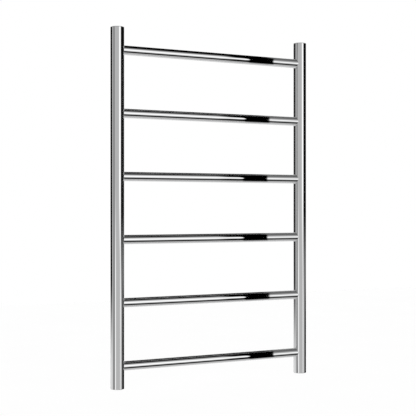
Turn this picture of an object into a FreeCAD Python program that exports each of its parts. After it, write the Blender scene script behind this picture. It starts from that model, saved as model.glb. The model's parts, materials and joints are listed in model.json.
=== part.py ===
import FreeCAD, Part
import os
import re

import Sketcher

# Wall-hung ladder towel warmer for a central-heating circuit.
#
# Frame, in millimetres: +Z up, -Y is the front that towels hang on, +Y points at the wall.
# The origin is the centre of the four wall-fixing bosses, on the plane of their faces.
# Every turned piece is drawn about its own Z axis, which points out of the rail.

OUT_FOLDER = "parts"

# The driving dimensions, in millimetres. Each one is a cell of the sheet "Sizes".
SIZES = {
    # the ladder
    "rack_height": 846,
    "rack_width": 550,
    "post_diameter": 32,
    "post_wall": 1.5,
    "bar_diameter": 22,
    "bar_wall": 1.2,
    "bar_count": 6,
    "bar_pitch": 148,
    "water_hole": 18,
    # end pieces of the posts: a lip as wide as the post, and a spigot inside it
    "lip_height": 3,
    "lip_round": 1.2,
    "cap_spigot": 5,
    "cap_spigot_wall": 2,
    # G 1/2 female inlet, drawn at the thread's major diameter
    "inlet_thread": 20.955,
    "inlet_spigot": 15,
    "inlet_chamfer": 1,
    # M8 blind bosses that the wall brackets screw into
    "fixing_spacing": 592,
    "boss_diameter": 14,
    "boss_length": 15,
    "boss_proud": 1,
    "boss_edge": 0.5,
    "fixing_thread": 8,
    "fixing_depth": 11,
    "fixing_drill_tip": 2.4,
    # G 1/8 ports for the air vent and the blanking plug
    "port_below_top": 18,
    "port_diameter": 16,
    "port_length": 10,
    "port_thread": 9.728,
    "seal_recess": 12.4,
    "seal_section": 1,
    "seal_middle": 10.7,
    # what screws into a port
    "shank_diameter": 9.628,
    "shank_length": 9,
    "vent_hex": 12,
    "vent_head": 3.5,
    "vent_corner_cut": 0.5,
    "screw_bore": 5.2,
    "seat_depth": 3,
    "air_passage": 2.5,
    "weep_hole": 1.4,
    "weep_height": 1.8,
    "plug_head_diameter": 13,
    "plug_head": 2.5,
    "plug_edge": 0.4,
    "plug_key": 5,
    "plug_key_depth": 4,
    # bleed screw and the seal that it presses on its seat
    "screw_diameter": 5,
    "screw_bottom": 2.15,
    "square_start": 3.8,
    "square_end": 7.5,
    "square_key": 5,
    "slot_width": 0.9,
    "slot_depth": 1.1,
    "needle_diameter": 4.8,
    "needle_tip": 2.3,
    "needle_top": 2.2,
    "needle_shoulder": 3,
    "needle_bottom": 4.2,
}

POST_AXIS_Y = "-(post_diameter / 2 + boss_proud)"
POST_AXIS_X = "(rack_width - post_diameter) / 2"
END_PLANE = "(rack_height / 2 - lip_height)"
PORT_HEIGHT = "(rack_height / 2 - port_below_top)"

UP = FreeCAD.Rotation()
DOWN = FreeCAD.Rotation(FreeCAD.Vector(1, 0, 0), 180)
BACKWARD = FreeCAD.Rotation(FreeCAD.Vector(1, 0, 0), -90)

SIDES = {"left": -1, "right": 1}


# ---------------------------------------------------------------- sheet and expressions

def make_sheet(doc):
    sheet = doc.addObject("Spreadsheet::Sheet", "Sizes")
    for row, (name, value) in enumerate(SIZES.items(), start=1):
        sheet.set(f"A{row}", name)
        sheet.set(f"B{row}", str(value))
        sheet.setAlias(f"B{row}", name)
    doc.recompute()


def bound(expression):
    """The expression with each dimension's name turned into a reference to its cell."""
    def refer(match):
        word = match.group()
        return f"Sizes.{word}" if word in SIZES else word
    return re.sub(r"[a-z][a-z_]+", refer, expression)


# ---------------------------------------------------------------- sketches

def add_sketch(body, name, role):
    """An empty sketch on one of the body's own origin planes."""
    plane = next(f for f in body.Origin.OriginFeatures if f.Role == role)
    sketch = body.newObject("Sketcher::SketchObject", name)
    sketch.AttachmentSupport = (plane, [""])
    sketch.MapMode = "FlatFace"
    return sketch


def fix_point(sketch, geometry, position, x, y):
    """Holds a point of the geometry at x and y from the sketch's origin."""
    for kind, expression in (("DistanceX", x), ("DistanceY", y)):
        added = Sketcher.Constraint(kind, -1, 1, geometry, position, 1.0)
        number = sketch.addConstraint(added)
        sketch.setExpression(f"Constraints[{number}]", bound(expression))


def draw_outline(sketch, corners):
    """A closed outline of straight lines through the corners, each held by its own two distances."""
    count = len(corners)
    turn = FreeCAD.Rotation(FreeCAD.Vector(0, 0, 1), 360 / count)
    rough = [FreeCAD.Vector(10, 0, 0)]
    for _ in range(count - 1):
        rough.append(turn.multVec(rough[-1]))
    for i in range(count):
        sketch.addGeometry(Part.LineSegment(rough[i], rough[(i + 1) % count]))
    for i in range(count):
        sketch.addConstraint(Sketcher.Constraint("Coincident", (i - 1) % count, 2, i, 1))
    for i, (x, y) in enumerate(corners):
        fix_point(sketch, i, 1, x, y)


def draw_circle(sketch, diameter, x="0", y="0"):
    circle = Part.Circle(FreeCAD.Vector(1, 1, 0), FreeCAD.Vector(0, 0, 1), 1)
    geometry = sketch.addGeometry(circle)
    fix_point(sketch, geometry, 3, x, y)
    number = sketch.addConstraint(Sketcher.Constraint("Diameter", geometry, 2.0))
    sketch.setExpression(f"Constraints[{number}]", bound(diameter))


def draw_polygon(sketch, sides, across_flats):
    """A regular polygon about the sketch's origin, with one of its flats facing the sketch's Y."""
    corner = f"{across_flats} / 2 / cos({180 / sides} deg)"
    angles = [f"({90 + 180 / sides + 360 * i / sides} deg)" for i in range(sides)]
    draw_outline(sketch, [(f"{corner} * cos{a}", f"{corner} * sin{a}") for a in angles])


# ---------------------------------------------------------------- features

def add_body(doc, label):
    body = doc.addObject("PartDesign::Body", label)
    body.Label = label
    return body


def place(body, x="0", y="0", z="0", rotation=UP):
    body.Placement = FreeCAD.Placement(FreeCAD.Vector(), rotation)
    for axis, expression in zip("xyz", (x, y, z)):
        body.setExpression(f"Placement.Base.{axis}", bound(expression))


def revolve(body, corners):
    """A turned solid. Each corner of its half section is (distance from the axis, height)."""
    sketch = add_sketch(body, "half_section", "XZ_Plane")
    draw_outline(sketch, corners)
    solid = body.newObject("PartDesign::Revolution", "turned")
    solid.Profile = sketch
    solid.ReferenceAxis = (sketch, ["V_Axis"])
    return solid


def pad(body, sketch, length, symmetric=False):
    solid = body.newObject("PartDesign::Pad", "pad")
    solid.Profile = sketch
    solid.SideType = "Symmetric" if symmetric else "One side"
    solid.setExpression("Length", bound(length))
    return solid


def pocket(body, sketch, depth=None, reversed_way=False, symmetric=False):
    """Cuts the sketch out of the body, to a depth or right through. It has to remove material."""
    body.Document.recompute()
    before = body.Shape.Volume
    cut = body.newObject("PartDesign::Pocket", "pocket")
    cut.Profile = sketch
    cut.SideType = "Symmetric" if symmetric else "One side"
    cut.Reversed = reversed_way
    if depth is None:
        cut.Type = "ThroughAll"
    else:
        cut.setExpression("Length", bound(depth))
    body.Document.recompute()
    if not cut.Shape.Volume < before - 1e-3:
        raise RuntimeError(f"{body.Label}: {sketch.Label} cuts nothing")
    return cut


def repeat_up(body, feature, span, count):
    """Repeats a cut along the body's Z axis, evenly over the span."""
    axis = next(f for f in body.Origin.OriginFeatures if f.Role == "Z_Axis")
    pattern = body.newObject("PartDesign::LinearPattern", "pattern")
    pattern.Originals = [feature]
    pattern.Direction = (axis, [""])
    pattern.setExpression("Length", bound(span))
    pattern.setExpression("Occurrences", bound(count))
    body.Tip = pattern
    return pattern


def round_rim(body, feature, height, radius):
    """Rounds the widest circular edge at that height."""
    body.Document.recompute()
    rims = []
    for number, edge in enumerate(feature.Shape.Edges, start=1):
        if isinstance(edge.Curve, Part.Circle) and abs(edge.Curve.Center.z - height) < 1e-6:
            rims.append((edge.Curve.Radius, f"Edge{number}"))
    fillet = body.newObject("PartDesign::Fillet", "rim_round")
    fillet.Base = (feature, [max(rims)[1]])
    fillet.setExpression("Radius", bound(radius))


# ---------------------------------------------------------------- the ladder

def make_post(doc, side):
    """A tube with a water hole for each bar on its inner side, and three boss holes at its back."""
    body = add_body(doc, f"{side}_post")
    section = add_sketch(body, "section", "XY_Plane")
    draw_circle(section, "post_diameter")
    draw_circle(section, "post_diameter - 2 * post_wall")
    pad(body, section, "rack_height - 2 * lip_height")

    bars_span = "(bar_count - 1) * bar_pitch"
    water = add_sketch(body, "water_hole", "YZ_Plane")
    draw_circle(water, "water_hole", y=f"(rack_height - {bars_span}) / 2 - lip_height")
    # A pocket runs against its sketch's normal, which is +X here, so the left post's is reversed.
    hole = pocket(body, water, reversed_way=side == "left")
    repeat_up(body, hole, bars_span, "bar_count")

    fixing = add_sketch(body, "fixing_hole", "XZ_Plane")
    draw_circle(fixing, "boss_diameter", y="(rack_height - fixing_spacing) / 2 - lip_height")
    hole = pocket(body, fixing)
    repeat_up(body, hole, "fixing_spacing", "2")

    port = add_sketch(body, "port_hole", "XZ_Plane")
    draw_circle(port, "port_diameter", y="rack_height - port_below_top - lip_height")
    pocket(body, port)
    place(body, f"{SIDES[side]} * {POST_AXIS_X}", POST_AXIS_Y, f"-{END_PLANE}")
    return body


def make_crossbar(doc, number):
    """A tube whose ends are hollowed to sit on the round of the posts. Number 1 is the top one."""
    body = add_body(doc, f"crossbar_{number}")
    section = add_sketch(body, "section", "YZ_Plane")
    draw_circle(section, "bar_diameter")
    draw_circle(section, "bar_diameter - 2 * bar_wall")
    pad(body, section, "rack_width - post_diameter", symmetric=True)
    saddles = add_sketch(body, "saddles", "XY_Plane")
    for way in SIDES.values():
        draw_circle(saddles, "post_diameter", x=f"{way} * {POST_AXIS_X}")
    pocket(body, saddles, symmetric=True)
    place(body, y=POST_AXIS_Y, z=f"bar_pitch * ((bar_count + 1) / 2 - {number})")
    return body


def make_top_cap(doc, side):
    body = add_body(doc, f"{side}_top_cap")
    bore = "(post_diameter / 2 - post_wall)"
    turned = revolve(body, [
        ("0", "0"),
        (f"{bore} - cap_spigot_wall", "0"),
        (f"{bore} - cap_spigot_wall", "-cap_spigot"),
        (bore, "-cap_spigot"),
        (bore, "0"),
        ("post_diameter / 2", "0"),
        ("post_diameter / 2", "lip_height"),
        ("0", "lip_height"),
    ])
    round_rim(body, turned, SIZES["lip_height"], "lip_round")
    place(body, f"{SIDES[side]} * {POST_AXIS_X}", POST_AXIS_Y, END_PLANE)
    return body


def make_inlet_bush(doc, side):
    """The threaded bush in a post's lower end, which a radiator valve screws into."""
    body = add_body(doc, f"{side}_inlet_bush")
    bore = "(post_diameter / 2 - post_wall)"
    turned = revolve(body, [
        ("inlet_thread / 2", "-inlet_spigot"),
        (bore, "-inlet_spigot"),
        (bore, "0"),
        ("post_diameter / 2", "0"),
        ("post_diameter / 2", "lip_height"),
        ("inlet_thread / 2 + inlet_chamfer", "lip_height"),
        ("inlet_thread / 2", "lip_height - inlet_chamfer"),
    ])
    round_rim(body, turned, SIZES["lip_height"], "lip_round")
    place(body, f"{SIDES[side]} * {POST_AXIS_X}", POST_AXIS_Y, f"-{END_PLANE}", DOWN)
    return body


# ---------------------------------------------------------------- bosses at the back

def make_wall_boss(doc, side, level):
    body = add_body(doc, f"wall_boss_{level}_{side}")
    revolve(body, [
        ("0", "-boss_length"),
        ("boss_diameter / 2", "-boss_length"),
        ("boss_diameter / 2", "-boss_edge"),
        ("boss_diameter / 2 - boss_edge", "0"),
        ("fixing_thread / 2 + boss_edge", "0"),
        ("fixing_thread / 2", "-boss_edge"),
        ("fixing_thread / 2", "-fixing_depth"),
        ("0", "-fixing_depth - fixing_drill_tip"),
    ])
    height = {"upper": "fixing_spacing / 2", "lower": "-fixing_spacing / 2"}[level]
    place(body, f"{SIDES[side]} * {POST_AXIS_X}", z=height, rotation=BACKWARD)
    return body


def place_at_port(body, side):
    place(body, f"{SIDES[side]} * {POST_AXIS_X}", z=PORT_HEIGHT, rotation=BACKWARD)


def make_port_boss(doc, label, side):
    body = add_body(doc, label)
    revolve(body, [
        ("port_thread / 2", "-port_length"),
        ("port_diameter / 2", "-port_length"),
        ("port_diameter / 2", "-boss_edge"),
        ("port_diameter / 2 - boss_edge", "0"),
        ("seal_recess / 2", "0"),
        ("seal_recess / 2", "-seal_section"),
        ("port_thread / 2", "-seal_section"),
    ])
    place_at_port(body, side)
    return body


def make_o_ring(doc, label, side):
    """An O-ring that fills the depth of the recess in the boss's face."""
    body = add_body(doc, label)
    sketch = add_sketch(body, "section", "XZ_Plane")
    draw_circle(sketch, "seal_section", x="seal_middle / 2", y="-seal_section / 2")
    ring = body.newObject("PartDesign::Revolution", "ring")
    ring.Profile = sketch
    ring.ReferenceAxis = (sketch, ["V_Axis"])
    place_at_port(body, side)
    return body


# ---------------------------------------------------------------- air vent and blanking plug

def make_vent_body(doc):
    """A hexagon-headed plug with a bore for the bleed screw, a conical seat and a weep hole."""
    body = add_body(doc, "air_vent_body")
    cone = "(screw_bore / 2 - air_passage / 2)"
    revolve(body, [
        ("air_passage / 2", "-shank_length"),
        ("shank_diameter / 2", "-shank_length"),
        ("shank_diameter / 2", "0"),
        ("vent_hex / 2", "0"),
        ("vent_hex / 2", "vent_head"),
        ("screw_bore / 2", "vent_head"),
        ("screw_bore / 2", "-seat_depth"),
        ("air_passage / 2", f"-seat_depth - {cone}"),
    ])
    hexagon = add_sketch(body, "hexagon", "XY_Plane")
    draw_polygon(hexagon, 6, "vent_hex")
    draw_circle(hexagon, "screw_bore")
    pad(body, hexagon, "vent_head")

    reach = "vent_hex / sqrt(3)"
    chamfer = add_sketch(body, "corner_cut", "XZ_Plane")
    draw_outline(chamfer, [
        (f"{reach} - 2 * vent_corner_cut", "vent_head"),
        (f"{reach} + vent_corner_cut", "vent_head - 1.5 * vent_corner_cut"),
        (f"{reach} + vent_corner_cut", "vent_head"),
    ])
    groove = body.newObject("PartDesign::Groove", "corner_cut_round")
    groove.Profile = chamfer
    groove.ReferenceAxis = (chamfer, ["V_Axis"])

    weep = add_sketch(body, "weep_hole", "XZ_Plane")
    draw_circle(weep, "weep_hole", y="weep_height")
    pocket(body, weep)
    place_at_port(body, "left")
    return body


def make_vent_needle(doc):
    """The soft-tipped seal on the vent's seat. It rises with the bleed screw and doesn't turn."""
    body = add_body(doc, "air_vent_needle")
    revolve(body, [
        ("0", "-needle_bottom"),
        ("needle_tip / 2", "-needle_bottom"),
        ("needle_diameter / 2", "-needle_shoulder"),
        ("needle_diameter / 2", "-needle_top"),
        ("0", "-needle_top"),
    ])
    place_at_port(body, "left")
    return body


def make_bleed_screw(doc):
    """A round stem with a square head for a radiator key, slotted for a screwdriver."""
    body = add_body(doc, "bleed_screw")
    revolve(body, [
        ("0", "-screw_bottom"),
        ("screw_diameter / 2", "-screw_bottom"),
        ("screw_diameter / 2", "square_end - 2 * slot_depth"),
        ("0", "square_end - 2 * slot_depth"),
    ])
    square = add_sketch(body, "square", "XY_Plane")
    square.setExpression("AttachmentOffset.Base.z", bound("square_start"))
    draw_polygon(square, 4, "square_key")
    pad(body, square, "square_end - square_start")

    slot = add_sketch(body, "slot", "XZ_Plane")
    low, high = "square_end - slot_depth", "square_end + slot_depth"
    draw_outline(slot, [
        ("-slot_width / 2", low),
        ("slot_width / 2", low),
        ("slot_width / 2", high),
        ("-slot_width / 2", high),
    ])
    pocket(body, slot, symmetric=True)
    place_at_port(body, "left")
    return body


def make_blanking_plug(doc):
    """A round-headed plug with a hexagon socket."""
    body = add_body(doc, "blanking_plug")
    revolve(body, [
        ("0", "-shank_length"),
        ("shank_diameter / 2", "-shank_length"),
        ("shank_diameter / 2", "0"),
        ("plug_head_diameter / 2", "0"),
        ("plug_head_diameter / 2", "plug_head - plug_edge"),
        ("plug_head_diameter / 2 - plug_edge", "plug_head"),
        ("0", "plug_head"),
    ])
    socket = add_sketch(body, "socket", "XY_Plane")
    socket.setExpression("AttachmentOffset.Base.z", bound("plug_head"))
    draw_polygon(socket, 6, "plug_key")
    pocket(body, socket, "plug_key_depth")
    place_at_port(body, "right")
    return body


# ---------------------------------------------------------------- the document

def make_document():
    doc = FreeCAD.newDocument("towel_warmer")
    make_sheet(doc)
    bodies = []
    for side in SIDES:
        bodies.append(make_post(doc, side))
        bodies.append(make_top_cap(doc, side))
        bodies.append(make_inlet_bush(doc, side))
        bodies.append(make_wall_boss(doc, side, "upper"))
        bodies.append(make_wall_boss(doc, side, "lower"))
    for number in range(1, SIZES["bar_count"] + 1):
        bodies.append(make_crossbar(doc, number))
    for label, side in (("air_vent", "left"), ("blanking_plug", "right")):
        bodies.append(make_port_boss(doc, f"{label}_boss", side))
        bodies.append(make_o_ring(doc, f"{label}_o_ring", side))
    bodies.append(make_vent_body(doc))
    bodies.append(make_vent_needle(doc))
    bodies.append(make_bleed_screw(doc))
    bodies.append(make_blanking_plug(doc))
    doc.recompute()
    return doc, bodies


def check(doc, bodies):
    """Stops before anything is written if a feature failed or a shape isn't one closed solid."""
    for item in doc.Objects:
        if {"Invalid", "Error"} & set(item.State):
            raise RuntimeError(f"{item.Label} failed: {item.State}")
    for body in bodies:
        shape = body.Shape
        if shape.isNull() or not shape.isValid() or len(shape.Solids) != 1:
            raise RuntimeError(f"{body.Label} isn't one valid solid")


def main():
    doc, bodies = make_document()
    check(doc, bodies)
    os.makedirs(OUT_FOLDER, exist_ok=True)
    for body in bodies:
        body.Shape.exportStep(os.path.join(OUT_FOLDER, f"{body.Label}.step"))
        print(f"{body.Label}: {body.Shape.Volume:.0f} mm3")


main()
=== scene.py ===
# Looks for the towel warmer rail: finishes, weld fillets, screw threads, studio and camera.
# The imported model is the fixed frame, in metres: X to the right, Y towards the wall, Z up.

import json
import math

import bmesh
import bpy
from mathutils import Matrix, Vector


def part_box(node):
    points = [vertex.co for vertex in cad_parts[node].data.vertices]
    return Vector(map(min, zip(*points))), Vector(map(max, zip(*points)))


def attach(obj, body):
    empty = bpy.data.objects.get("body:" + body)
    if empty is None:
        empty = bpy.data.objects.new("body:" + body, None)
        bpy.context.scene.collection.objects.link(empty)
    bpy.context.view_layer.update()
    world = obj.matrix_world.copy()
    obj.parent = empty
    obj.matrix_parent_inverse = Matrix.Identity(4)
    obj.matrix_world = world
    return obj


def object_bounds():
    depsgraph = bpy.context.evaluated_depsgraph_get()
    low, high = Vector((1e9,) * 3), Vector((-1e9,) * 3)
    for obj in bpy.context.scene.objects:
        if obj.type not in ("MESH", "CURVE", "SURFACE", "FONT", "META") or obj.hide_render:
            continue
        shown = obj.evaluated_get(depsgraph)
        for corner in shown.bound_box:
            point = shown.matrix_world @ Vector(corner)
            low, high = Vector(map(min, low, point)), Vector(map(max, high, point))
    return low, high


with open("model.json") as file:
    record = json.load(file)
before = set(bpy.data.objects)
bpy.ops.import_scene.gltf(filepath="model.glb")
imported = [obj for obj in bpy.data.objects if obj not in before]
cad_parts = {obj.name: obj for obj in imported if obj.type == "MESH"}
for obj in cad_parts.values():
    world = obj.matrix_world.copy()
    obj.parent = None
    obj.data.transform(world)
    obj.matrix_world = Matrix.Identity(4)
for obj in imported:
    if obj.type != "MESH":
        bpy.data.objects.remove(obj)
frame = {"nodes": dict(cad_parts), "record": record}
cad_low, cad_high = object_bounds()

MM = 0.001
RAIL = "rail"
CHROME = "chromed_steel"
BARS = [f"crossbar_{i}" for i in range(1, 7)]
LEVELS = ("upper", "lower")
TO_RIGHT = Vector((1.0, 0.0, 0.0))
TO_WALL = Vector((0.0, 1.0, 0.0))
UP = Vector((0.0, 0.0, 1.0))


# ---------------------------------------------------------------- shader helpers


class Graph:
    """A short way to write a node tree: most methods add a node and return its output."""

    def __init__(self, tree):
        self.tree = tree
        tree.nodes.clear()

    def add(self, kind, **settings):
        """A new node itself, with these settings."""
        node = self.tree.nodes.new(kind)
        for name, value in settings.items():
            setattr(node, name, value)
        return node

    def feed(self, socket, value):
        """Links an output to the socket, or sets the socket's own value."""
        if isinstance(value, bpy.types.NodeSocket):
            self.tree.links.new(value, socket)
        else:
            socket.default_value = value

    def math(self, operation, a, b=0.0):
        node = self.add("ShaderNodeMath", operation=operation)
        self.feed(node.inputs[0], a)
        self.feed(node.inputs[1], b)
        return node.outputs[0]

    def smooth(self, x, start, end):
        """0 on start's side, 1 on end's side, with a soft step between them."""
        node = self.add("ShaderNodeMapRange", interpolation_type="SMOOTHSTEP")
        self.feed(node.inputs["Value"], x)
        node.inputs["From Min"].default_value = start
        node.inputs["From Max"].default_value = end
        return node.outputs[0]

    def window(self, x, start, end, softness):
        """1 between start and end, with a soft step of this width at each of them."""
        half = softness / 2
        return self.math(
            "MULTIPLY",
            self.smooth(x, start - half, start + half),
            self.smooth(x, end + half, end - half),
        )

    def blend(self, share, a, b):
        node = self.add("ShaderNodeMix", data_type="FLOAT")
        self.feed(node.inputs["Factor"], share)
        self.feed(node.inputs["A"], a)
        self.feed(node.inputs["B"], b)
        return node.outputs["Result"]

    def blend_colour(self, share, a, b):
        """The sockets are taken by place, because the node's other types share their names."""
        node = self.add("ShaderNodeMix", data_type="RGBA")
        self.feed(node.inputs[0], share)
        self.feed(node.inputs[6], a)
        self.feed(node.inputs[7], b)
        return node.outputs[2]

    def noise(self, where, scale, detail=3.0):
        """Soft noise from 0 to 1, with about this many features in a metre."""
        node = self.add("ShaderNodeTexNoise")
        self.feed(node.inputs["Vector"], where)
        node.inputs["Scale"].default_value = scale
        node.inputs["Detail"].default_value = detail
        return node.outputs["Fac"]

    def bump(self, height, strength, distance):
        node = self.add("ShaderNodeBump")
        node.inputs["Strength"].default_value = strength
        node.inputs["Distance"].default_value = distance
        self.feed(node.inputs["Height"], height)
        return node.outputs[0]

    def surface(self, sockets):
        """Sets up the material's Principled shader, whose other sockets keep their defaults."""
        shader = self.add("ShaderNodeBsdfPrincipled")
        for name, value in sockets.items():
            self.feed(shader.inputs[name], value)
        out = self.add("ShaderNodeOutputMaterial")
        self.feed(out.inputs["Surface"], shader.outputs[0])


def new_material(name):
    """A material, its node tree, and the object's own coordinates as an output in it."""
    material = bpy.data.materials.new(name)
    material.use_nodes = True
    g = Graph(material.node_tree)
    return material, g, g.add("ShaderNodeTexCoord").outputs["Object"]


# ---------------------------------------------------------------- studio

CHROME_TONE = 0.93  # how much light the chrome sends back, which the studio tones allow for

# The studio that the polished tubes mirror is a plain room with panels of one even tone each.
# A tone is the grey that a display shows, from 0 to 1. Angles are in degrees. "turn" goes
# round the posts: 0 is straight ahead of the rail and 90 is to its right. "lift" goes round
# the crossbars: 0 is straight ahead, 90 overhead and -90 the floor. "height" is the angle
# above the horizon. "across" is the share of a direction that points to the right, and
# "rounded" is the same, with limits that move to the left as the lift grows. Each panel has
# its tone and its limits, as (start, end, width of the soft edge), and covers the ones above.
ROOM_TONE = 0.70
WALL_TONE = 0.85
WALL_DEPTHS = (-0.2, 0.9)  # where the room turns into the wall, as a share towards the wall
CEILING_TONE = 0.40
CEILING_RISES = (0.35, 0.75)  # where the room turns into the ceiling, as a share upwards
LEVEL = (-17, 17, 6)  # every height that the posts mirror to a level camera
ROUNDING = 0.012  # how far the limits of a rounded panel move at the lift below
ROUNDING_LIFT = 45.0

PANELS = {
    "left_screen": (0.08, {"turn": (-176, -116, 14), "height": (-6, 17, 5)}),
    "left_grey": (0.48, {"turn": (-98, -70, 10), "height": LEVEL}),
    "strip_light": (1.00, {"turn": (-60, -48, 6), "height": (-17, -1, 6)}),
    "fill_light": (1.00, {"turn": (5, 26, 8), "height": (-1, 17, 5)}),
    "right_screen": (0.05, {"turn": (36, 176, 8), "height": (-3, 17, 6)}),
    "low_right_screen": (0.05, {"turn": (62, 150, 12), "height": (-17, -3, 6)}),
    "flag_wing": (0.00, {"lift": (-66, 90, 20), "across": (0.514, 0.540, 0.012)}),
    "narrow_flag": (0.00, {"lift": (-78, 84, 16), "across": (0.530, 0.5483, 0.0016)}),
    "key_light": (1.00, {"lift": (-15, 20, 26), "rounded": (0.38, 0.5304, 0.0016)}),
    "key_light_end": (1.00, {"lift": (-11, 15, 18), "across": (0.5483, 0.60, 0.0016)}),
    "under_screen": (0.00, {"lift": (-64, -29, 12), "across": (0.2, 0.8, 0.1)}),
    "over_screen": (0.00, {"lift": (54, 146, 18), "across": (0.2, 0.546, 0.010)}),
}


def light_level(grey):
    """The light that a display shows as this grey, by the sRGB curve."""
    return grey / 12.92 if grey <= 0.04045 else ((grey + 0.055) / 1.055) ** 2.4


def studio_light(g):
    """The light that comes from each direction: the room, painted over by each panel."""
    direction = g.add("ShaderNodeTexCoord").outputs["Generated"]
    parts = g.add("ShaderNodeSeparateXYZ")
    g.feed(parts.inputs[0], direction)
    across, depth, rise = parts.outputs
    ahead = g.math("MULTIPLY", depth, -1.0)
    lift = g.math("DEGREES", g.math("ARCTAN2", rise, ahead))
    slant = g.math("DIVIDE", lift, ROUNDING_LIFT)
    curve = g.math("MULTIPLY", g.math("MULTIPLY", slant, slant), ROUNDING)
    place = {
        "turn": g.math("DEGREES", g.math("ARCTAN2", across, ahead)),
        "lift": lift,
        "height": g.math("DEGREES", g.math("ARCSINE", rise)),
        "across": across,
        "rounded": g.math("ADD", across, curve),
    }
    wall_share = g.smooth(depth, *WALL_DEPTHS)
    light = g.blend(wall_share, light_level(ROOM_TONE), light_level(WALL_TONE))
    ceiling_share = g.smooth(rise, *CEILING_RISES)
    light = g.blend(ceiling_share, light, light_level(CEILING_TONE))
    for tone, limits in PANELS.values():
        share = 1.0
        for name, (start, end, softness) in limits.items():
            share = g.math("MULTIPLY", share, g.window(place[name], start, end, softness))
        light = g.blend(share, light, light_level(tone))
    return light


def make_studio():
    """Glossy rays see the studio, and the camera and matt surfaces see plain white."""
    world = bpy.data.worlds.new("studio")
    bpy.context.scene.world = world
    world.use_nodes = True
    g = Graph(world.node_tree)
    mirrored = g.math("DIVIDE", studio_light(g), CHROME_TONE)
    ray = g.add("ShaderNodeLightPath")
    sky = g.add("ShaderNodeBackground")
    sky.inputs["Color"].default_value = (1.0, 1.0, 1.0, 1.0)
    g.feed(sky.inputs["Strength"], g.blend(ray.outputs["Is Glossy Ray"], 1.0, mirrored))
    out = g.add("ShaderNodeOutputWorld")
    g.feed(out.inputs["Surface"], sky.outputs[0])


FLOOR_HALF = 12.0
FLOOR_DROP = 0.9  # from the feet of the rail, which hangs on a wall
FLOOR_PALE = (0.985, 0.985, 0.985, 1.0)
FLOOR_WHITE = (1.0, 1.0, 1.0, 1.0)


def make_floor():
    """A plain pale floor, which the rail doesn't mirror."""
    height = cad_low.z - FLOOR_DROP
    corners = [(-1, -1), (1, -1), (1, 1), (-1, 1)]
    mesh = bpy.data.meshes.new("floor")
    points = [(x * FLOOR_HALF, y * FLOOR_HALF, height) for x, y in corners]
    mesh.from_pydata(points, [], [(0, 1, 2, 3)])
    material, g, place = new_material("pale_floor")
    g.surface({
        "Base Color": g.blend_colour(g.noise(place, scale=1.5), FLOOR_PALE, FLOOR_WHITE),
        "Roughness": 0.9,
        "Specular IOR Level": 0.0,
    })
    mesh.materials.append(material)
    floor = bpy.data.objects.new("floor", mesh)
    bpy.context.scene.collection.objects.link(floor)
    floor.visible_glossy = False


# ---------------------------------------------------------------- finishes

# The range of tones, the least and the most roughness, and how strong the surface's waves are.
METALS = {
    CHROME: {
        "dark": (0.91, 0.915, 0.92, 1.0),
        "light": (0.94, 0.943, 0.947, 1.0),
        "polish": 0.006,
        "haze": 0.022,
        "waviness": 0.05,
    },
    "nickel_brass": {
        "dark": (0.62, 0.58, 0.52, 1.0),
        "light": (0.70, 0.66, 0.60, 1.0),
        "polish": 0.16,
        "haze": 0.28,
        "waviness": 0.5,
    },
}
RUBBER_DARK = (0.012, 0.012, 0.013, 1.0)
RUBBER_DUSTY = (0.030, 0.030, 0.031, 1.0)


def metal(name, dark, light, polish, haze, waviness):
    """A plated metal: tones between dark and light, roughness between polish and haze."""
    material, g, place = new_material(name)
    clouds = g.noise(place, scale=14.0, detail=4.0)
    specks = g.noise(place, scale=900.0, detail=2.0)
    waves = g.noise(place, scale=60.0, detail=2.0)
    half_clouds = g.math("MULTIPLY", g.smooth(clouds, start=0.35, end=0.75), 0.5)
    half_specks = g.math("MULTIPLY", g.smooth(specks, start=0.4, end=0.8), 0.5)
    wear = g.math("ADD", half_clouds, half_specks)
    g.surface({
        "Metallic": 1.0,
        "Base Color": g.blend_colour(clouds, dark, light),
        "Roughness": g.blend(wear, polish, haze),
        "Normal": g.bump(waves, strength=waviness, distance=0.02 * MM),
    })
    return material


def rubber(name):
    """A matt rubber with a fine grain and a little dust."""
    material, g, place = new_material(name)
    grain = g.noise(place, scale=2500.0)
    dust = g.noise(place, scale=260.0)
    g.surface({
        "Base Color": g.blend_colour(dust, RUBBER_DARK, RUBBER_DUSTY),
        "Roughness": g.blend(grain, 0.45, 0.65),
        "Normal": g.bump(grain, strength=0.4, distance=0.03 * MM),
    })
    return material


finishes = {name: metal(name, **looks) for name, looks in METALS.items()}
finishes["black_rubber"] = rubber("black_rubber")


def dress_nodes():
    """Every CAD node gets the finish of its own material slot."""
    slots = {row["node"]: row["material_slot"] for row in frame["record"]["subparts"]}
    for name, node in frame["nodes"].items():
        node.data.materials.clear()
        node.data.materials.append(finishes[slots[name]])


# ---------------------------------------------------------------- welds and threads

SHARP_ANGLE = math.radians(35.0)  # an edge sharper than this isn't shaded smooth
EMBED = 0.06 * MM  # how far welds and threads reach into the metal that they sit on


def add_piece(name, points, faces):
    """A chromed piece of the rail, with its faces turned outwards."""
    mesh = bpy.data.meshes.new(name)
    mesh.from_pydata(points, [], faces)
    builder = bmesh.new()
    builder.from_mesh(mesh)
    bmesh.ops.recalc_face_normals(builder, faces=builder.faces)
    builder.to_mesh(mesh)
    builder.free()
    mesh.polygons.foreach_set("use_smooth", [True] * len(mesh.polygons))
    mesh.set_sharp_from_angle(angle=SHARP_ANGLE)
    mesh.materials.append(finishes[CHROME])
    piece = bpy.data.objects.new(name, mesh)
    bpy.context.scene.collection.objects.link(piece)
    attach(piece, RAIL)


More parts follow.
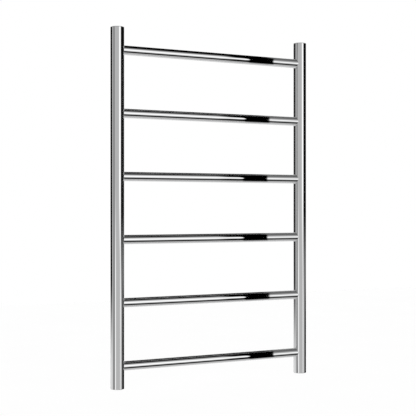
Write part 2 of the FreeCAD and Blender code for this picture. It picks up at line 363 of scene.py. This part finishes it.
def loft(rings, closed):
    """The points and faces of a skin over rings of points.

    A closed skin joins the last ring to the first, and an open one gets a face at each end.
    """
    count = len(rings[0])
    points = [p for ring in rings for p in ring]
    faces = []
    for i in range(len(rings) if closed else len(rings) - 1):
        here = i * count
        there = (i + 1) % len(rings) * count
        for j in range(count):
            k = (j + 1) % count
            faces.append((here + j, here + k, there + k, there + j))
    if not closed:
        faces.append(tuple(range(count)))
        faces.append(tuple(range(len(points) - count, len(points))))
    return points, faces


WELD_STEPS = 96  # round the branch
WELD_CURVE = 7  # points across the fillet
BAR_WELD = 0.9 * MM
BOSS_WELD = 0.6 * MM


def add_weld(name, post, branch, outward, leg):
    """The ground fillet where a round branch meets a round post.

    outward is the branch's direction away from the post's axis. The fillet leaves the branch
    and the post along their surfaces, leg away from the corner between them.
    """
    post_low, post_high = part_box(post)
    post_radius = (post_high.x - post_low.x) / 2
    post_middle = (post_low + post_high) / 2
    post_axis = Vector((post_middle.x, post_high.y - post_radius, 0.0))
    low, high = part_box(branch)
    radius = (high.z - low.z) / 2
    middle = (low + high) / 2
    side = UP.cross(outward)

    def on_post(angle, out):
        """The point just under the post's surface that lies this far out from the branch's
        axis, at this angle round it."""
        across = out * math.cos(angle)
        reach = math.sqrt((post_radius - EMBED) ** 2 - across**2)
        rise = Vector((0, 0, middle.z + out * math.sin(angle)))
        return post_axis + side * across + outward * reach + rise

    rings = []
    for i in range(WELD_STEPS):
        angle = 2 * math.pi * i / WELD_STEPS
        corner = on_post(angle, radius - EMBED)
        start = corner + outward * leg
        end = on_post(angle, radius + leg)
        ring = [corner]
        for k in range(WELD_CURVE):
            t = k / (WELD_CURVE - 1)
            ring.append(start * (1 - t) ** 2 + corner * (2 * t * (1 - t)) + end * t**2)
        rings.append(ring)
    add_piece(name, *loft(rings, closed=True))


def add_welds():
    """The fillets of the six bars and of the six bosses."""
    for side, inward in (("left", TO_RIGHT), ("right", -TO_RIGHT)):
        post = f"{side}_post"
        for bar in BARS:
            add_weld(f"weld_{bar}_{side}", post, bar, inward, BAR_WELD)
        for level in LEVELS:
            boss = f"wall_boss_{level}_{side}"
            add_weld(f"weld_{boss}", post, boss, TO_WALL, BOSS_WELD)
    for post, boss in (("left_post", "air_vent_boss"), ("right_post", "blanking_plug_boss")):
        add_weld(f"weld_{boss}", post, boss, TO_WALL, BOSS_WELD)


# The ridge's section: place along the hole in pitches, and share of the depth.
THREAD_PROFILE = [
    (-0.46, 0.0), (-0.44, 0.02), (-0.12, 0.86), (-0.06, 1.0),
    (0.06, 1.0), (0.12, 0.86), (0.44, 0.02), (0.46, 0.0),
]
THREAD_MARGIN = 0.45  # turns left free at each end of the thread
THREAD_GROWTH = 3.0  # share of the depth that a ridge gains in a turn at its ends
THREAD_THINNEST = 0.02
INLET_THREAD = {"pitch": 1.814 * MM, "depth": 1.162 * MM, "steps": 64}
FIXING_THREAD = {"pitch": 1.25 * MM, "depth": 0.677 * MM, "steps": 40}
FIXING_LENGTH = 10.5 * MM
FIXING_INSET = 0.5 * MM  # from the boss's face to the start of the thread


def add_thread(name, mouth, inward, radius, length, pitch, depth, steps):
    """The helical ridge of a screw thread inside a hole of this radius.

    mouth is the middle of the thread's outer end and inward points into the hole. The ridge
    grows from nearly nothing over its first third of a turn, and fades out in the same way.
    steps is how many steps a turn is drawn in.
    """
    inward = inward.normalized()
    first = inward.orthogonal().normalized()
    second = inward.cross(first)
    turns = length / pitch - 2 * THREAD_MARGIN
    rings = []
    for i in range(round(turns * steps) + 1):
        turn = i / steps
        grown = min(1.0, turn * THREAD_GROWTH, (turns - turn) * THREAD_GROWTH)
        grown = max(THREAD_THINNEST, grown)
        angle = 2 * math.pi * turn
        spoke = first * math.cos(angle) + second * math.sin(angle)
        base = mouth + inward * (pitch * (turn + THREAD_MARGIN))
        ring = []
        for along, share in THREAD_PROFILE:
            ridge = share * depth * grown + EMBED * (share > 0)
            ring.append(base + inward * (along * pitch) + spoke * (radius + EMBED - ridge))
        rings.append(ring)
    add_piece(name, *loft(rings, closed=False))


def add_threads():
    """The threads in the two inlets and in the four wall fixings."""
    mounts = {mount["name"]: mount for mount in frame["record"]["mounts"]}
    for side in ("left", "right"):
        inlet = mounts[f"{side}_inlet"]
        add_thread(
            f"thread_{side}_inlet",
            Vector(inlet["pos_m"]),
            -Vector(inlet["axis"]),
            inlet["dims"]["r_mm"] * MM,
            inlet["dims"]["length_mm"] * MM,
            **INLET_THREAD,
        )
        for level in LEVELS:
            boss = f"wall_boss_{level}_{side}"
            low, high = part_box(boss)
            mouth = (low + high) / 2
            mouth.y = high.y - FIXING_INSET
            radius = mounts["wall_fixings"]["dims"]["hole_r_mm"] * MM
            add_thread(f"thread_{boss}", mouth, -TO_WALL, radius, FIXING_LENGTH, **FIXING_THREAD)


# ---------------------------------------------------------------- camera

VIEW_TURN = math.radians(30.2)  # from the left of straight ahead
VIEW_DISTANCE = 2.72
AIM_LEFT_OF_MIDDLE = 0.0138
LENS_MM = 96.2
SENSOR_MM = 36.0


def make_camera():
    """A camera in front and to the left, level with the middle of the rail."""
    post_low, post_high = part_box("left_post")
    middle = (cad_low + cad_high) / 2
    tube_y = (post_low.y + post_high.y) / 2
    aim = Vector((middle.x - AIM_LEFT_OF_MIDDLE, tube_y, middle.z))
    towards = Vector((math.sin(VIEW_TURN), math.cos(VIEW_TURN), 0.0))
    data = bpy.data.cameras.new("camera")
    data.sensor_width = SENSOR_MM
    data.lens = LENS_MM
    camera = bpy.data.objects.new("camera", data)
    bpy.context.scene.collection.objects.link(camera)
    camera.location = aim - towards * VIEW_DISTANCE
    camera.rotation_mode = "QUATERNION"
    camera.rotation_quaternion = towards.to_track_quat("-Z", "Y")
    bpy.context.scene.camera = camera


make_camera()
make_studio()
make_floor()
dress_nodes()
add_welds()
add_threads()
bpy.context.scene.view_settings.view_transform = "Standard"
